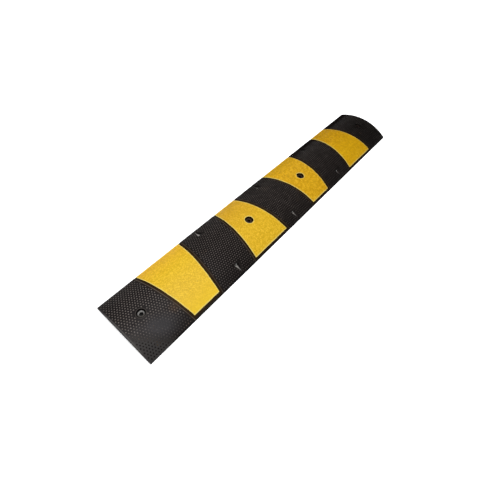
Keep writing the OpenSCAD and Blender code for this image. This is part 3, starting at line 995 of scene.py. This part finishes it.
def yellow(i):
    m, nt, sh = material(f"reflective_yellow_{i + 1}")
    co = coords(nt)
    rim = attribute(nt, "rim")
    bead = voronoi(nt, co, 1250.0)
    grain = noise(nt, co, 620.0, 3.0, 0.7)
    mottle = noise(nt, co, 170.0, 2.0, 0.5)
    blotch = noise(nt, co, 75.0, 3.0, 0.6)
    fold = noise(nt, co, 26.0, 2.0, 0.5, 1.2)
    fold = calc(nt, "ABSOLUTE", calc(nt, "SUBTRACT", fold, 0.5))
    cloud = noise(nt, co, 14.0, 3.0)
    warm = [(0.90, 0.575, 0.019), (0.885, 0.54, 0.018), (0.94, 0.525, 0.012), (0.98, 0.515, 0.007)][i]
    deep = (1.0, 1.0, 1.3, 1.5)[i]
    dark = tuple(x * (1 - k * deep) for x, k in zip(warm, (0.20, 0.24, 0.3), strict=True))
    light = tuple(min(1.0, x * k) for x, k in zip(warm, (1.08, 1.13, 2.2), strict=True))
    base = mix(nt, ramp(nt, grain, 0.34, 0.66), dark, warm)
    most = (0.9, 1.0, 1.0, 1.0)[i]
    base = mix(nt, ramp(nt, mottle, 0.50, 0.64, 0.0, most), base, light)
    base = mix(nt, ramp(nt, mottle, 0.50, 0.36, 0.0, most), base, dark)
    more = (0.18, 0.5, 0.9, 1.0)[i]
    base = mix(nt, ramp(nt, blotch, 0.52, 0.66, 0.0, more), base, light)
    base = mix(nt, ramp(nt, blotch, 0.48, 0.34, 0.0, more), base, dark)
    base = mix(nt, ramp(nt, fold, 0.0, 0.022, 0.5 * more, 0.0), base, dark)
    base = mix(nt, ramp(nt, cloud, 0.35, 0.75, 0.0, 0.2), base, dark)
    pits = ramp(nt, bead, 0.10, 0.32, 0.35, 0.0)
    base = mix(nt, pits, base, tuple(x * 0.55 for x in dark))
    scuff = ramp(nt, noise(nt, co, 190.0, 2.0), 0.66, 0.74, 0.0, 0.35)
    base = mix(nt, scuff, base, (0.40, 0.24, 0.03))
    # Across the bump: brighter and purer yellow towards one edge on the end panels, more orange towards +Y on the
    # first two, darker towards +Y on the last three.
    parts = nt.nodes.new("ShaderNodeSeparateXYZ")
    nt.links.new(co, parts.inputs[0])
    across = parts.outputs[1]
    if i in (0, 3):
        brighter_edge = ramp(nt, across, *((-0.06, -0.13, 0.0, 0.6) if i == 0 else (0.06, -0.03, 0.0, 0.42)))
        base = mix(nt, brighter_edge, base, (0.97, 0.64, 0.03) if i == 0 else (1.0, 0.58, 0.010))
    if i < 2:
        base = mix(nt, ramp(nt, across, *((0.06, 0.14), (-0.02, 0.10))[i]), base, ((1.0, 0.90, 1.0), (1.0, 0.93, 1.0))[i], "MULTIPLY")
    if i > 0:
        base = mix(nt, ramp(nt, across, *((-0.02, 0.13, 0.0, 0.14), (0.08, 0.14, 0.0, 0.16), (0.03, 0.14, 0.0, 0.16))[i - 1]), base, (0.0, 0.0, 0.0))
    # Painted shade: the panels' creases are painted darker, as shade along them.
    base = mix(nt, calc(nt, "MULTIPLY", attribute(nt, "fold"), 0.7), base, tuple(x * 0.75 for x in dark))
    base = mix(nt, calc(nt, "MULTIPLY", calc(nt, "POWER", rim, 1.4), 0.85), base, (1.0, 0.86, 0.26))
    nt.links.new(base, sh.inputs["Base Color"])
    nt.links.new(ramp(nt, mottle, 0.3, 0.7, 0.42, 0.58), sh.inputs["Roughness"])
    if i < 2:
        sh.inputs["Specular IOR Level"].default_value = (0.22, 0.18)[i]
    else:
        nt.links.new(ramp(nt, across, 0.02, 0.12, (0.14, 0.10)[i - 2], 0.02), sh.inputs["Specular IOR Level"])
    bump(nt, sh, [(ramp(nt, fold, 0.0, 0.05), 0.0005, 0.5), (blotch, 0.0012, 0.35), (mottle, 0.0007, 0.4), (grain, 0.0003, 0.5), (bead, 0.00025, 0.45)])
    return m


def steel():
    m, nt, sh = material("zinc_steel")
    co = coords(nt)
    n1, n2 = noise(nt, co, 380.0, 4.0, 0.7), noise(nt, co, 90.0, 3.0)
    base = mix(nt, ramp(nt, n2, 0.35, 0.7), (0.125, 0.122, 0.118), (0.08, 0.077, 0.073))
    base = mix(nt, ramp(nt, n1, 0.55, 0.8, 0.0, 0.5), base, (0.06, 0.046, 0.036))
    parts = nt.nodes.new("ShaderNodeSeparateXYZ")
    nt.links.new(co, parts.inputs[0])
    # Painted shadow: on the first washer the -Y half is painted dark, as shaded by the counterbore's wall.
    lean = calc(nt, "ADD", parts.outputs[1], calc(nt, "MULTIPLY", calc(nt, "ADD", parts.outputs[0], 0.824), 0.55))
    painted_shadow_side = ramp(nt, calc(nt, "ADD", lean, calc(nt, "MULTIPLY", n2, 0.004)), 0.005, -0.004)
    base = mix(nt, calc(nt, "MULTIPLY", painted_shadow_side, 0.85), base, (0.022, 0.018, 0.015))
    base = mix(nt, ramp(nt, parts.outputs[0], -0.7, -0.3, 0.0, 0.85), base, (0.052, 0.030, 0.021))
    nt.links.new(base, sh.inputs["Base Color"])
    sh.inputs["Metallic"].default_value = 0.8
    nt.links.new(ramp(nt, n1, 0.3, 0.7, 0.40, 0.58), sh.inputs["Roughness"])
    bump(nt, sh, [(n1, 0.0002, 0.4)])
    return m


def cup_metal():
    m, nt, sh = material("cup_metal")
    co = coords(nt)
    n1 = noise(nt, co, 700.0, 3.0)
    base = mix(nt, ramp(nt, n1, 0.3, 0.7), (0.72, 0.73, 0.74), (0.58, 0.58, 0.58))
    nt.links.new(base, sh.inputs["Base Color"])
    sh.inputs["Metallic"].default_value = 0.9
    nt.links.new(ramp(nt, n1, 0.3, 0.7, 0.22, 0.34), sh.inputs["Roughness"])
    bump(nt, sh, [(n1, 0.0001, 0.3)])
    return m


def lens_glass():
    m, nt, sh = material("clear_lens")
    co = coords(nt)
    cell = voronoi(nt, co, 900.0, "DISTANCE_TO_EDGE")
    haze = noise(nt, co, 500.0, 2.0)
    base = mix(nt, ramp(nt, haze, 0.3, 0.7), (0.93, 0.95, 0.95), (0.80, 0.83, 0.84))
    nt.links.new(base, sh.inputs["Base Color"])
    sh.inputs["IOR"].default_value = 1.5
    sh.inputs["Transmission Weight"].default_value = 0.55
    nt.links.new(ramp(nt, haze, 0.3, 0.7, 0.05, 0.14), sh.inputs["Roughness"])
    bump(nt, sh, [(cell, 0.0004, 0.5)])
    return m


body.data.materials.append(rubber("black_rubber", 0.2))
body.data.materials.append(rubber("black_rubber_edge", 0.03))
for i, p in enumerate(panels):
    p.data.materials.append(yellow(i))
zinc, bright, glass = steel(), cup_metal(), lens_glass()
for o in washers:
    o.data.materials.append(zinc)
for o in cups:
    o.data.materials.append(bright)
for o in lenses:
    o.data.materials.append(glass)


# ---------------------------------------------------------------- floor, light and camera
def floor():
    me = bpy.data.meshes.new("floor")
    s = 12.0
    me.from_pydata([(-s, -s, -0.0006), (s, -s, -0.0006), (s, s, -0.0006), (-s, s, -0.0006)], [], [(0, 1, 2, 3)])
    ob = bpy.data.objects.new("floor", me)
    bpy.context.scene.collection.objects.link(ob)
    m, nt, sh = material("pale_floor")
    sh.inputs["Base Color"].default_value = (0.9, 0.9, 0.9, 1)
    sh.inputs["Roughness"].default_value = 0.9
    sh.inputs["Specular IOR Level"].default_value = 0.1
    sh.inputs["Emission Color"].default_value = (1, 1, 1, 1)
    away = nt.nodes.new("ShaderNodeVectorMath")
    away.operation = "DISTANCE"
    away.inputs[1].default_value = (-0.6, 0, 0)
    nt.links.new(coords(nt), away.inputs[0])
    fall = calc(nt, "ADD", 1.0, calc(nt, "POWER", calc(nt, "DIVIDE", away.outputs["Value"], 2.05), 2.0))
    lit = calc(nt, "DIVIDE", 0.95, calc(nt, "POWER", fall, 2.0))
    glow = calc(nt, "SUBTRACT", 1.28, lit)
    seen = nt.nodes.new("ShaderNodeLightPath").outputs["Is Camera Ray"]
    nt.links.new(calc(nt, "ADD", glow, calc(nt, "MULTIPLY", seen, 0.3)), sh.inputs["Emission Strength"])
    me.materials.append(m)


def area(name, at, to, size, power, colour=(1, 1, 1)):
    d = bpy.data.lights.new(name, "AREA")
    d.shape = "RECTANGLE"
    d.size, d.size_y = size
    d.energy = power
    d.color = colour
    ob = bpy.data.objects.new(name, d)
    ob.location = at
    ob.rotation_mode = "QUATERNION"
    ob.rotation_quaternion = (Vector(to) - Vector(at)).to_track_quat("-Z", "Y")
    bpy.context.scene.collection.objects.link(ob)
    return ob


floor()
world = bpy.data.worlds.new("studio")
bpy.context.scene.world = world
world.use_nodes = True
wt = world.node_tree
bg = wt.nodes["Background"]
aim = wt.nodes.new("ShaderNodeTexCoord")
part = wt.nodes.new("ShaderNodeSeparateXYZ")
wt.links.new(aim.outputs["Generated"], part.inputs[0])
sky = wt.nodes.new("ShaderNodeValToRGB")
sky.color_ramp.interpolation = "EASE"
stops = [(0.0, 0.5), (0.06, 0.45), (0.16, 0.05), (0.50, 0.015), (1.0, 0.12)]
while len(sky.color_ramp.elements) < len(stops):
    sky.color_ramp.elements.new(0.5)
for e, (at, level) in zip(sky.color_ramp.elements, stops, strict=True):
    e.position, e.color = at, (level, level, level, 1)
wt.links.new(part.outputs[2], sky.inputs[0])
wt.links.new(sky.outputs[0], bg.inputs[0])
bg.inputs[1].default_value = 1.0
# A pale backdrop behind the object, wherever the floor ends. It lights nothing.
backdrop = wt.nodes.new("ShaderNodeBackground")
backdrop.inputs[0].default_value = (1.0, 1.0, 1.0, 1)
seen, either = wt.nodes.new("ShaderNodeLightPath"), wt.nodes.new("ShaderNodeMixShader")
wt.links.new(seen.outputs["Is Camera Ray"], either.inputs[0])
wt.links.new(bg.outputs[0], either.inputs[1])
wt.links.new(backdrop.outputs[0], either.inputs[2])
wt.links.new(either.outputs[0], wt.nodes["World Output"].inputs[0])
area("key", (-0.60, 0.0, 2.05), (-0.6, 0, 0), (1.0, 2.3), 46)
area("lamp", (1.9, 1.6, 1.9), (-0.2, 0, 0), (0.6, 0.6), 5)

cam_data = bpy.data.cameras.new("camera")
cam = bpy.data.objects.new("camera", cam_data)
bpy.context.scene.collection.objects.link(cam)
bpy.context.scene.camera = cam
cam_data.sensor_width = 36.0
cam_data.lens = 332.94863870687146 / 480 * 36
cam_data.clip_start, cam_data.clip_end = 0.05, 60
spin = Vector((2.3688662594508068, -1.0375729794591535, 0.45274782309493733))
turn = Matrix.Rotation(spin.length, 3, spin.normalized())  # world to camera, x right, y down, z ahead
place = Vector((-108.11501668276065 - HX, -503.82298352556563, 1224.8707026692555)) / 1000
m = Matrix((turn[0], -turn[1], -turn[2])).transposed().to_4x4()
m.translation = place
cam.matrix_world = m

view = bpy.context.scene.view_settings
view.view_transform = "Standard"
view.look = "None"
